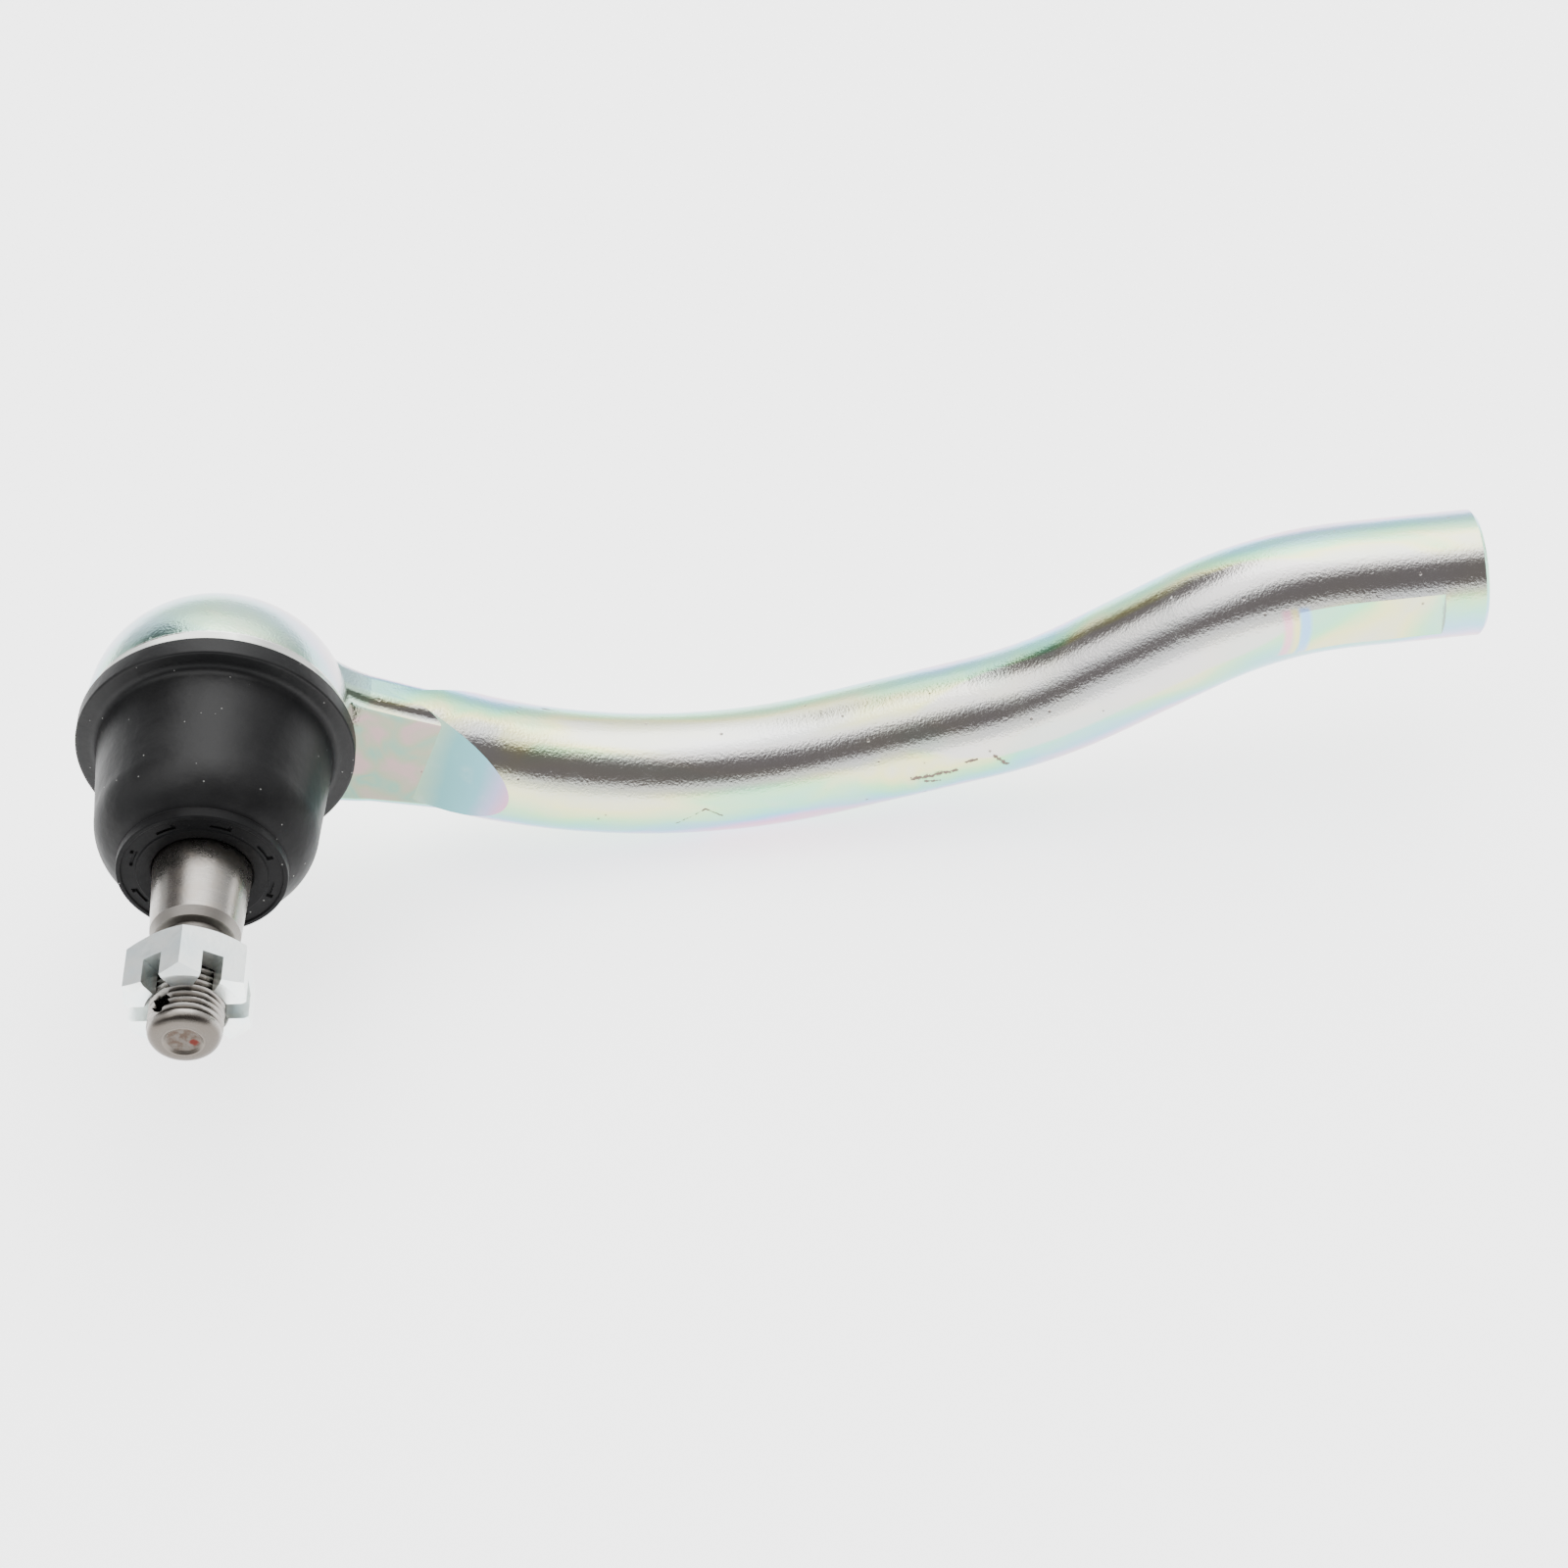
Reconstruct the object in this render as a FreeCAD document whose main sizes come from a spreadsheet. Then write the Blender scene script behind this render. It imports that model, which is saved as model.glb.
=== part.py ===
"""Tie rod end: a ball joint on a forged, S-bent arm with a female thread in its end.

The origin is the centre of the ball.  The stud points along -Y, the arm's threaded end along +X,
and +Z is up.  The arm bends in the XZ plane.  All sizes are millimetres and degrees.
"""
import FreeCAD, Part
import math
import os

import Sketcher

V = FreeCAD.Vector
doc = FreeCAD.newDocument("tie_rod_end")

# ---------------------------------------------------------------- driving sizes
SIZES = {
    # arm: a round bar that runs from the ball centre in three bends to the threaded end
    "rod_end_x": (220.7, "ball centre to the threaded end face"),
    "bar_dia": (22.0, "diameter of the forged bar"),
    "end_straight": (21.9, "straight stretch before the end face"),
    "end_bend_radius": (58.2, "centreline radius of the bend nearest the thread"),
    "end_bend_angle": (27.65, "slope of the bar between the last two bends"),
    "mid_straight": (20.7, "straight stretch on that slope"),
    "mid_bend_radius": (72.6, "centreline radius of the middle bend"),
    "belly_angle": (10.4, "slope of the bar just past its lowest point"),
    "belly_straight": (27.9, "straight stretch on that slope"),
    "belly_bend_radius": (104.5, "centreline radius of the long bend under the bar"),
    "neck_angle": (25.5, "fall of the bar where it leaves the eye"),
    "neck_straight": (40.0, "straight stretch from the last bend in to the ball centre"),
    "flat_width": (20.0, "across the two spanner flats"),
    "flat_start_x": (188.0, "spanner flats begin"),
    "flat_end_x": (213.0, "spanner flats end"),
    "end_break": (0.6, "edge break of the end face"),
    # neck: the bar is pressed to a plate where it joins the eye
    "neck_thick": (8.0, "plate thickness across Y"),
    "ramp_start": (37.5, "distance along the fall where the plate starts to thicken"),
    "ramp_length": (15.0, "length of the ramp up to the round bar"),
    "neck_edge_radius": (2.5, "rounding of the plate's long edges"),
    "web_top_x": (18.6, "upper end of the hollow curve, on the eye"),
    "web_top_z": (7.3, "upper end of the hollow curve, on the eye"),
    "web_bend_x": (26.4, "lower end of the hollow curve"),
    "web_bend_z": (-0.4, "lower end of the hollow curve"),
    "web_hollow_radius": (25.0, "radius of the hollow curve"),
    "web_foot_x": (44.0, "the flare's underside meets the bar"),
    "web_foot_z": (-33.2, "the flare's underside meets the bar"),
    "web_heel_x": (21.5, "the flare's underside nears the eye"),
    "web_heel_z": (-26.5, "the flare's underside nears the eye"),
    "web_heel_radius": (40.0, "curve from there in to the eye"),
    # eye: the forged cup around the ball
    "dome_radius": (20.15, "radius of the eye's rounded side"),
    "dome_centre_y": (-5.5, "where the rounded side is widest"),
    "dome_centre_r": (2.7, "offset of that arc's centre from the stud axis"),
    "land_radius": (22.2, "machined land behind the boot"),
    "land_width": (1.4, "length of the machined land"),
    "eye_front_y": (-10.1, "face that the boot sits against"),
    "spigot_radius": (19.0, "spigot that the boot ring grips"),
    "mouth_y": (-13.2, "front of the spigot"),
    "mouth_radius": (14.8, "flared mouth, wide end"),
    "throat_radius": (10.9, "flared mouth, narrow end"),
    "throat_length": (1.6, "straight throat"),
    "shoulder_y": (-6.0, "shoulder that keeps the ball in"),
    "cavity_radius": (13.6, "bore that holds the bearing seats"),
    "plate_seat_y": (8.8, "step that the closing plate lands on"),
    "plate_seat_radius": (14.4, "bore around the closing plate"),
    "rolled_lip_radius": (12.4, "opening inside the rolled lip"),
    "eye_back_y": (12.2, "back of the rolled lip"),
    # hole in the arm for an M14 x 1.5 thread, left plain at the thread's minor diameter
    "rod_major_dia": (14.0, "major diameter, cleared by the countersink"),
    "rod_minor_dia": (12.4, "minor diameter"),
    "rod_drill_depth": (35.0, "drilled depth"),
    # ball stud
    "ball_radius": (12.0, "ball"),
    "ball_flat_y": (10.4, "flat on the back of the ball"),
    "shank_radius": (6.2, "neck between the ball and the taper"),
    "shank_end_y": (-18.0, "where the neck begins to swell"),
    "taper_top_y": (-30.0, "wide end of the taper"),
    "taper_end_y": (-55.7, "narrow end of the taper"),
    "taper_end_radius": (7.36, "taper radius at its narrow end"),
    "taper_ratio": (8.0, "1 in 8 on the diameter"),
    "relief_radius": (5.4, "thread relief"),
    "relief_end_y": (-61.6, "end of the thread relief"),
    "stud_major_dia": (12.0, "M12 x 1.25 thread on the stud"),
    "stud_pitch": (1.25, "stud thread pitch"),
    "thread_end_y": (-76.0, "last full thread"),
    "point_radius": (5.85, "plain point past the thread"),
    "stud_tip_y": (-78.2, "end of the stud"),
    "tip_round": (1.9, "rounded edge of the tip"),
    "dimple_radius": (3.2, "shallow dimple in the tip"),
    "dimple_depth": (0.45, "depth of the dimple"),
    "cotter_dia": (3.4, "cross hole for a split pin"),
    "cotter_y": (-74.0, "centre of the cross hole"),
    "cotter_angle": (30.0, "turn of the cross hole about the stud"),
    # castle nut: M12 x 1.25, thin pattern
    "nut_flats": (19.0, "across flats"),
    "nut_height": (10.0, "total height"),
    "nut_end_y": (-72.2, "castellated end"),
    "nut_slot_width": (3.5, "width of the six slots"),
    "nut_slot_depth": (5.0, "depth of the six slots"),
    "nut_turn_angle": (6.0, "turn of the nut about the stud"),
    "nut_bore_clear": (0.06, "radial running clearance over the stud thread"),
    # bearing seats, spring and closing plate
    "seat_clear": (0.05, "running clearance over the ball"),
    "seat_fit": (0.05, "gap between the seats and the bore"),
    "seat_split_y": (2.0, "joint line between the two seats"),
    "upper_seat_end_y": (7.3, "back of the upper seat"),
    "spring_thick": (0.7, "disc spring thickness"),
    "spring_inner_radius": (10.3, "disc spring bore"),
    "plate_thick": (1.6, "closing plate thickness"),
    "plate_dome_gap": (0.6, "gap between the ball and the closing plate's dome"),
    # dust boot
    "flange_radius": (23.8, "boot flange"),
    "flange_width": (3.7, "boot flange thickness"),
    "cup_base_radius": (20.0, "cup beside the flange"),
    "cup_base_y": (-15.3, "start of the cup"),
    "cup_waist_radius": (18.7, "cup before the shoulder"),
    "cup_waist_y": (-31.5, "start of the shoulder"),
    "lip_radius": (14.1, "outside of the lip"),
    "lip_face_y": (-42.6, "front of the lip"),
    "lip_back_y": (-40.2, "where the shoulder meets the lip"),
    "lip_inner_y": (-38.0, "back of the lip, inside the boot"),
    "shoulder_radius": (10.9, "rounding of the shoulder"),
    "boot_wall": (2.0, "rubber wall thickness"),
    "lip_recess": (0.6, "depth of the ring groove in the lip face"),
    "lip_clear": (0.10, "clearance between the lip and the stud"),
    "notch_count": (8, "moulded notches in the lip face"),
    "notch_length": (2.6, "length of a notch"),
    "notch_width": (0.7, "width of a notch"),
    "notch_radius": (11.6, "radius of the ring of notches"),
    "notch_turn_angle": (-18.0, "turn of the first notch about the stud"),
    "base_ring_width": (1.3, "radial width of the steel ring in the flange"),
    "base_ring_front_y": (-12.5, "front of that ring"),
    "neck_ring_inner": (9.7, "bore of the steel ring in the lip"),
    "neck_ring_outer": (11.9, "outside of the steel ring in the lip"),
    "neck_ring_front_y": (-41.5, "front of the steel ring in the lip"),
    "neck_ring_back_y": (-39.2, "back of the steel ring in the lip"),
    "ring_gap": (0.10, "gap between the rubber and its steel rings"),
}

sheet = doc.addObject("Spreadsheet::Sheet", "Sizes")
for row, (alias, (value, meaning)) in enumerate(SIZES.items(), start=1):
    sheet.set(f"A{row}", meaning)
    sheet.set(f"B{row}", str(value))
    sheet.setAlias(f"B{row}", alias)
doc.recompute()


def size(name):
    """The value of one cell."""
    return float(sheet.get(name))


def value_of(expression):
    """The present value of an expression over the sheet, as a plain number."""
    result = sheet.evalExpression(expression)
    return float(getattr(result, "Value", result))


def cell(expression):
    """An expression with every size's name made to point at the sheet."""
    words = []
    word = ""
    for letter in expression + " ":
        if letter.isalnum() or letter == "_":
            word += letter
            continue
        if word in SIZES:
            word = "Sizes." + word
        words.append(word + letter)
        word = ""
    return "".join(words).strip()


# ---------------------------------------------------------------- helpers for bodies and sketches
def new_body(label):
    body = doc.addObject("PartDesign::Body", label)
    body.Label = label
    return body


def origin_part(body, role):
    """One of a body's own origin planes or axes."""
    return next(feature for feature in body.Origin.OriginFeatures if feature.Role == role)


def new_sketch(body, name, role="XY_Plane"):
    sketch = body.newObject("Sketcher::SketchObject", name)
    sketch.AttachmentSupport = [(origin_part(body, role), "")]
    sketch.MapMode = "FlatFace"
    return sketch


def turned_sketch(body, name, angle):
    """A sketch on the XY plane turned about the stud axis."""
    sketch = new_sketch(body, name)
    sketch.AttachmentOffset = FreeCAD.Placement(V(0, 0, 0), FreeCAD.Rotation(V(0, 1, 0), 1))
    sketch.setExpression("AttachmentOffset.Rotation.Angle", cell(angle))
    return sketch


def place_point(sketch, geometry, which, x_expression, y_expression):
    """Ties one end of an edge to two expressions over the sheet."""
    for kind, expression in (("DistanceX", x_expression), ("DistanceY", y_expression)):
        text = cell(expression)
        index = sketch.addConstraint(Sketcher.Constraint(kind, geometry, which, value_of(text)))
        sketch.setExpression(f"Constraints[{index}]", text)


def outline(sketch, corners):
    """A closed outline.  A corner is (x, y), or (x, y, radius) when an arc leads to the next one.

    A positive radius bulges to the left of the way from this corner to the next.
    """
    points = [V(value_of(cell(c[0])), value_of(cell(c[1])), 0) for c in corners]
    edges = []
    for number, corner in enumerate(corners):
        here = points[number]
        there = points[(number + 1) % len(points)]
        if len(corner) == 2:
            edges.append(sketch.addGeometry(Part.LineSegment(here, there), False))
            continue
        radius = value_of(cell(corner[2]))
        chord = there - here
        half = chord.Length / 2
        side = V(-chord.y, chord.x, 0).normalize() * math.copysign(1, radius)
        rise = abs(radius) - math.sqrt(max(radius * radius - half * half, 0))
        middle = (here + there) * 0.5 + side * rise
        edges.append(sketch.addGeometry(Part.Arc(here, middle, there), False))
        index = sketch.addConstraint(Sketcher.Constraint("Radius", edges[-1], abs(radius)))
        sketch.setExpression(f"Constraints[{index}]", "abs(" + cell(corner[2]) + ")")
    for number, edge in enumerate(edges):
        start, end = ends_of(sketch, edge, points[number])
        after = edges[(number + 1) % len(edges)]
        next_start, _ = ends_of(sketch, after, points[(number + 1) % len(points)])
        sketch.addConstraint(Sketcher.Constraint("Coincident", edge, end, after, next_start))
        place_point(sketch, edge, start, corners[number][0], corners[number][1])
    return edges


def ends_of(sketch, edge, start_point):
    """Which of an edge's two vertices is at the start point, and which is the other."""
    if (sketch.getPoint(edge, 1) - start_point).Length < 1e-6:
        return 1, 2
    return 2, 1


def revolve(body, name, corners, groove=False):
    """A full turn about the stud axis of an outline given as (radius, y)."""
    sketch = new_sketch(body, name + "_outline")
    outline(sketch, corners)
    kind = "PartDesign::Groove" if groove else "PartDesign::Revolution"
    feature = body.newObject(kind, name)
    feature.Profile = sketch
    feature.ReferenceAxis = (origin_part(body, "Y_Axis"), [""])
    feature.Angle = 360.0
    doc.recompute()
    return feature


def bind(item, **expressions):
    for name, expression in expressions.items():
        item.setExpression(name, cell(expression))


def edges_where(shape, test):
    """Names of the edges whose middle passes a test, for fillets."""
    names = []
    for number, edge in enumerate(shape.Edges, start=1):
        middle = edge.valueAt((edge.FirstParameter + edge.LastParameter) / 2)
        if test(edge, middle):
            names.append(f"Edge{number}")
    return names


def pad(body, name, sketch, length, kind="PartDesign::Pad"):
    """A pad or pocket of the given expression's length, half to each side of its sketch."""
    before = body.Shape.Volume if kind == "PartDesign::Pocket" else None
    feature = body.newObject(kind, name)
    feature.Profile = sketch
    feature.SideType = "Symmetric"
    bind(feature, Length=length)
    doc.recompute()
    if before is not None and feature.Shape.Volume > before - 0.5:
        raise RuntimeError(name + " cut nothing")
    return feature


def around_stud(body, name, feature, count):
    """Repeats a cut evenly around the stud axis."""
    before = body.Shape.Volume
    pattern = body.newObject("PartDesign::PolarPattern", name)
    pattern.Originals = [feature]
    pattern.Axis = (origin_part(body, "Y_Axis"), [""])
    pattern.Angle = 360.0
    bind(pattern, Occurrences=count)
    body.Tip = pattern
    doc.recompute()
    if pattern.Shape.Volume > before - 0.5:
        raise RuntimeError(name + " cut nothing")
    return pattern


def fillet(body, base, name, radius, test):
    feature = body.newObject("PartDesign::Fillet", name)
    feature.Base = (base, edges_where(base.Shape, test))
    bind(feature, Radius=radius)
    doc.recompute()
    return feature


def helix_cut(body, name, sketch, axis, pitch, height, reverse):
    """A screw thread cut by carrying a sketch along a helix about one of the body's axes."""
    before = body.Shape.Volume
    feature = body.newObject("PartDesign::SubtractiveHelix", name)
    feature.Profile = sketch
    feature.ReferenceAxis = (origin_part(body, axis), [""])
    feature.Mode = "pitch-height-angle"
    feature.Reversed = reverse
    bind(feature, Pitch=pitch, Height=height)
    doc.recompute()
    if feature.Shape.Volume > before - 0.5:
        raise RuntimeError(name + " cut nothing")
    return feature


# ---------------------------------------------------------------- forged housing: arm, neck and eye
def arm_centreline(body):
    """The bar's centreline: tangent lines and arcs from the threaded end in to the ball centre."""
    steps = [
        ("end_straight", None, None),
        ("end_bend_radius", "0", "end_bend_angle"),
        ("mid_straight", None, None),
        ("mid_bend_radius", "end_bend_angle", "belly_angle"),
        ("belly_straight", None, None),
        ("belly_bend_radius", "belly_angle", "-neck_angle"),
        ("neck_straight", None, None),
    ]
    sketch = new_sketch(body, "arm_centreline", "XZ_Plane")
    here = V(size("rod_end_x"), 0, 0)
    slope = 0.0
    last = None
    for length_name, slope_before, slope_after in steps:
        length = size(length_name)
        if slope_after is None:
            there = here - V(math.cos(slope), math.sin(slope), 0) * length
            edge = sketch.addGeometry(Part.LineSegment(here, there), False)
            kind = "Distance"
        else:
            end_slope = math.radians(value_of(cell(slope_after)))
            inward = math.copysign(length, end_slope - slope)
            centre = here + V(math.sin(slope), -math.cos(slope), 0) * inward
            half_slope = (slope + end_slope) / 2
            middle = centre - V(math.sin(half_slope), -math.cos(half_slope), 0) * inward
            there = centre - V(math.sin(end_slope), -math.cos(end_slope), 0) * inward
            edge = sketch.addGeometry(Part.Arc(here, middle, there), False)
            slope = end_slope
            kind = "Radius"
        index = sketch.addConstraint(Sketcher.Constraint(kind, edge, length))
        sketch.setExpression(f"Constraints[{index}]", cell(length_name))
        start, end = ends_of(sketch, edge, here)
        if last is None:
            sketch.addConstraint(Sketcher.Constraint("Horizontal", edge))
            place_point(sketch, edge, start, "rod_end_x", "0")
        else:
            sketch.addConstraint(Sketcher.Constraint("Tangent", last[0], last[1], edge, start))
        if slope_after is not None:
            # the arc's own turn, in degrees
            turn = f"abs({cell(slope_after)} - {cell(slope_before)})"
            angle = Sketcher.Constraint("Angle", edge, abs(math.radians(value_of(turn))))
            index = sketch.addConstraint(angle)
            sketch.setExpression(f"Constraints[{index}]", turn + " * 1 deg")
        last = (edge, end)
        here = there
    return sketch


def build_bar():
    """The Ø22 bar, pressed to a plate where it nears the eye."""
    body = new_body("bar")
    path = arm_centreline(body)
    section = new_sketch(body, "bar_section", "YZ_Plane")
    bind(section, **{"AttachmentOffset.Base.z": "rod_end_x"})
    circle = section.addGeometry(Part.Circle(V(0, 0, 0), V(0, 0, 1), size("bar_dia") / 2), False)
    section.addConstraint(Sketcher.Constraint("Coincident", circle, 3, -1, 1))
    index = section.addConstraint(Sketcher.Constraint("Diameter", circle, size("bar_dia")))
    section.setExpression(f"Constraints[{index}]", cell("bar_dia"))
    pipe = body.newObject("PartDesign::AdditivePipe", "bar_sweep")
    pipe.Profile = section
    pipe.Spine = path
    doc.recompute()
    # the plate lies along the bar's fall from the eye, so its sketch is turned by the same angle
    press = turned_sketch(body, "press_outline", "neck_angle")
    for sign in ("", "-"):
        outline(press, [
            ("-bar_dia", sign + "neck_thick / 2"),
            ("ramp_start", sign + "neck_thick / 2"),
            ("ramp_start + ramp_length", sign + "(bar_dia / 2 + 0.1)"),
            ("ramp_start + ramp_length", sign + "bar_dia"),
            ("-bar_dia", sign + "bar_dia"),
        ])
    pressed = pad(body, "press_cut", press, "3 * bar_dia", "PartDesign::Pocket")

    def plate_corner(edge, middle):
        along = middle.x * math.cos(fall) - middle.z * math.sin(fall)
        on_plate = abs(abs(middle.y) - size("neck_thick") / 2) < 0.01
        return on_plate and edge.Length > 5 and along < size("ramp_start") - 0.5

    fall = math.radians(size("neck_angle"))
    fillet(body, pressed, "plate_rounding", "neck_edge_radius", plate_corner)
    rim = "bar_dia / 2 + 0.1"
    end = new_sketch(body, "end_break_outline")
    outline(end, [
        ("rod_end_x - end_break - 0.1", rim),
        ("rod_end_x + 0.1", rim + " - end_break - 0.2"),
        ("rod_end_x + 0.1", rim),
    ])
    turned = body.newObject("PartDesign::Groove", "end_break")
    turned.Profile = end
    turned.ReferenceAxis = (origin_part(body, "X_Axis"), [""])
    turned.Angle = 360.0
    doc.recompute()
    return body


def build_neck_web():
    """The flare that carries the plate into the eye: a tangent line below, a hollow curve above."""
    body = new_body("neck_web")
    sketch = new_sketch(body, "web_outline", "XZ_Plane")
    outline(sketch, [
        ("web_top_x", "web_top_z", "-web_hollow_radius"),
        ("web_bend_x", "web_bend_z"),
        ("web_bend_x + 8", "web_bend_z - 4.1"),
        ("web_bend_x + 12", "web_bend_z - 14"),
        ("web_foot_x", "web_foot_z"),
        ("web_heel_x", "web_heel_z", "web_heel_radius"),
        ("4", "2 - land_radius"),
        ("2", "2"),
    ])
    web = pad(body, "web", sketch, "neck_thick")

    def long_edge(edge, middle):
        on_face = abs(abs(middle.y) - size("neck_thick") / 2) < 0.01
        above = middle.z > size("web_bend_z") - 2.5 and middle.x > size("web_top_x")
        below = middle.z < size("web_heel_z") + 4 and 4 < middle.x < size("web_foot_x") - 4
        return on_face and (above or below)

    fillet(body, web, "web_rounding", "neck_edge_radius", long_edge)
    return body


def build_eye():
    """The eye as a solid of revolution, before its cavity is bored."""
    body = new_body("eye")
    shoulder = "dome_centre_y + dome_radius * sqrt(0.5)"
    step_y = "eye_front_y + land_width"
    dome_start = "dome_centre_y - 2.1"
    revolve(body, "eye_blank", [
        ("0", "mouth_y"),
        ("spigot_radius - 0.5", "mouth_y"),
        ("spigot_radius", "mouth_y + 0.5"),
        ("spigot_radius", "eye_front_y"),
        ("land_radius - 0.4", "eye_front_y"),
        ("land_radius", "eye_front_y + 0.4"),
        ("land_radius", step_y),
        ("dome_centre_r + sqrt(dome_radius^2 - 2.1^2)", dome_start, "-dome_radius"),
        ("dome_centre_r + dome_radius * sqrt(0.5)", shoulder),
        ("rolled_lip_radius + 1.3", "eye_back_y"),
        ("0", "eye_back_y"),
    ])
    return body


def build_housing():
    blank = doc.addObject("Part::MultiFuse", "housing_blank")
    blank.Shapes = [build_eye(), build_neck_web(), build_bar()]
    doc.recompute()
    body = new_body("housing")
    body.BaseFeature = blank
    doc.recompute()
    revolve(body, "ball_cavity", [
        ("0", "mouth_y - 1"),
        ("mouth_radius", "mouth_y - 1"),
        ("mouth_radius", "mouth_y"),
        ("throat_radius", "shoulder_y - throat_length"),
        ("throat_radius", "shoulder_y"),
        ("cavity_radius", "shoulder_y"),
        ("cavity_radius", "plate_seat_y"),
        ("plate_seat_radius", "plate_seat_y"),
        ("plate_seat_radius", "plate_seat_y + plate_thick"),
        ("rolled_lip_radius", "plate_seat_y + plate_thick"),
        ("rolled_lip_radius", "eye_back_y + 1"),
        ("0", "eye_back_y + 1"),
    ], groove=True)
    flats = new_sketch(body, "flats_outline")
    for sign in ("", "-"):
        outline(flats, [
            ("flat_start_x", sign + "flat_width / 2"),
            ("flat_end_x", sign + "flat_width / 2"),
            ("flat_end_x + 1.5", sign + "bar_dia"),
            ("flat_start_x", sign + "bar_dia"),
        ])
    pad(body, "spanner_flats", flats, "2 * bar_dia", "PartDesign::Pocket")
    bore = new_sketch(body, "rod_bore_outline")
    outline(bore, [
        ("rod_end_x + 1", "0"),
        ("rod_end_x + 1", "rod_major_dia / 2 + 1.3"),
        ("rod_end_x - 1", "rod_minor_dia / 2"),
        ("rod_end_x - rod_drill_depth", "rod_minor_dia / 2"),
        ("rod_end_x - rod_drill_depth - rod_minor_dia * 0.29", "0"),
    ])
    groove = body.newObject("PartDesign::Groove", "rod_bore")
    groove.Profile = bore
    groove.ReferenceAxis = (origin_part(body, "X_Axis"), [""])
    groove.Angle = 360.0
    doc.recompute()
    return body


# ---------------------------------------------------------------- ball stud
def build_ball_stud():
    body = new_body("ball_stud")
    taper_top = "taper_end_radius + (taper_top_y - taper_end_y) / (2 * taper_ratio)"
    crest = "stud_major_dia / 2"
    revolve(body, "stud_turning", [
        ("0", "ball_flat_y"),
        ("sqrt(ball_radius^2 - ball_flat_y^2)", "ball_flat_y", "ball_radius"),
        ("ball_radius", "0", "ball_radius"),
        ("shank_radius", "-sqrt(ball_radius^2 - shank_radius^2)"),
        ("shank_radius", "shank_end_y"),
        (taper_top + " - 0.6", "taper_top_y + 2.5"),
        (taper_top, "taper_top_y"),
        ("taper_end_radius", "taper_end_y"),
        ("taper_end_radius - 0.75", "taper_end_y - 1.5"),
        ("relief_radius", "taper_end_y - 1.9"),
        ("relief_radius", "relief_end_y + 0.9"),
        (crest, "relief_end_y"),
        (crest, "thread_end_y"),
        ("point_radius", "thread_end_y - 0.25"),
        ("point_radius", "stud_tip_y + tip_round", "tip_round"),
        ("point_radius - tip_round", "stud_tip_y"),
        ("dimple_radius", "stud_tip_y"),
        ("dimple_radius - 0.5", "stud_tip_y + dimple_depth"),
        ("0", "stud_tip_y + dimple_depth"),
    ])
    hole = turned_sketch(body, "cotter_hole_outline", "-cotter_angle")
    circle = hole.addGeometry(Part.Circle(V(0, size("cotter_y"), 0), V(0, 0, 1), 1.6), False)
    index = hole.addConstraint(Sketcher.Constraint("Diameter", circle, size("cotter_dia")))
    hole.setExpression(f"Constraints[{index}]", cell("cotter_dia"))
    place_point(hole, circle, 3, "0", "cotter_y")
    pad(body, "cotter_hole", hole, "3 * stud_major_dia", "PartDesign::Pocket")
    groove = new_sketch(body, "stud_thread_outline")
    depth = "stud_pitch * 0.6134"
    start = "relief_end_y + 1.0"
    outline(groove, [
        (crest + " - " + depth, start + " - stud_pitch * 0.1"),
        (crest + " + 0.1", start + " - stud_pitch * 0.47"),
        (crest + " + 0.1", start + " + stud_pitch * 0.47"),
        (crest + " - " + depth, start + " + stud_pitch * 0.1"),
    ])
    reach = start + " - thread_end_y + stud_pitch * 0.5"
    helix_cut(body, "stud_thread", groove, "Y_Axis", "stud_pitch", reach, True)
    return body


# ---------------------------------------------------------------- castle nut
def build_castle_nut():
    """Thin castle nut: a hexagon with both ends chamfered and six slots across its flats."""
    body = new_body("castle_nut")
    hexagon = new_sketch(body, "hexagon", "XZ_Plane")
    bind(hexagon, **{"AttachmentOffset.Base.z": "-nut_end_y - nut_height / 2"})
    corner = "nut_flats / sqrt(3)"
    outline(hexagon, [
        (f"{corner} * sin({60 * k} deg)", f"{corner} * cos({60 * k} deg)") for k in range(6)
    ])
    pad(body, "hexagon_pad", hexagon, "nut_height")
    drop = "(nut_flats / sqrt(3) - nut_flats * 0.475) * tan(30 deg)"
    revolve(body, "nut_chamfers", [
        ("nut_flats * 0.475", "nut_end_y - 1"),
        ("nut_flats * 0.475", "nut_end_y"),
        (corner, "nut_end_y + " + drop),
        (corner, "nut_end_y + nut_height - " + drop),
        ("nut_flats * 0.475", "nut_end_y + nut_height"),
        ("nut_flats * 0.475", "nut_end_y + nut_height + 1"),
        ("nut_flats", "nut_end_y + nut_height + 1"),
        ("nut_flats", "nut_end_y - 1"),
    ], groove=True)
    bore = "stud_major_dia / 2 + nut_bore_clear"
    revolve(body, "nut_bore", [
        ("0", "nut_end_y - 1"),
        (bore + " + 1.6", "nut_end_y - 1"),
        (bore, "nut_end_y + 0.6"),
        (bore, "nut_end_y + nut_height - 0.6"),
        (bore + " + 1.6", "nut_end_y + nut_height + 1"),
        ("0", "nut_end_y + nut_height + 1"),
    ], groove=True)
    slot = turned_sketch(body, "slot_outline", "30")
    outline(slot, [
        ("-nut_slot_width / 2", "nut_end_y - 1"),
        ("nut_slot_width / 2", "nut_end_y - 1"),
        ("nut_slot_width / 2", "nut_end_y + nut_slot_depth"),
        ("-nut_slot_width / 2", "nut_end_y + nut_slot_depth"),
    ])
    cut = pad(body, "slot", slot, "2 * nut_flats", "PartDesign::Pocket")
    around_stud(body, "slots", cut, "6")
    body.Placement = FreeCAD.Placement(V(0, 0, 0), FreeCAD.Rotation(V(0, 1, 0), 1))
    bind(body, **{"Placement.Rotation.Angle": "nut_turn_angle"})
    return body


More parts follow.
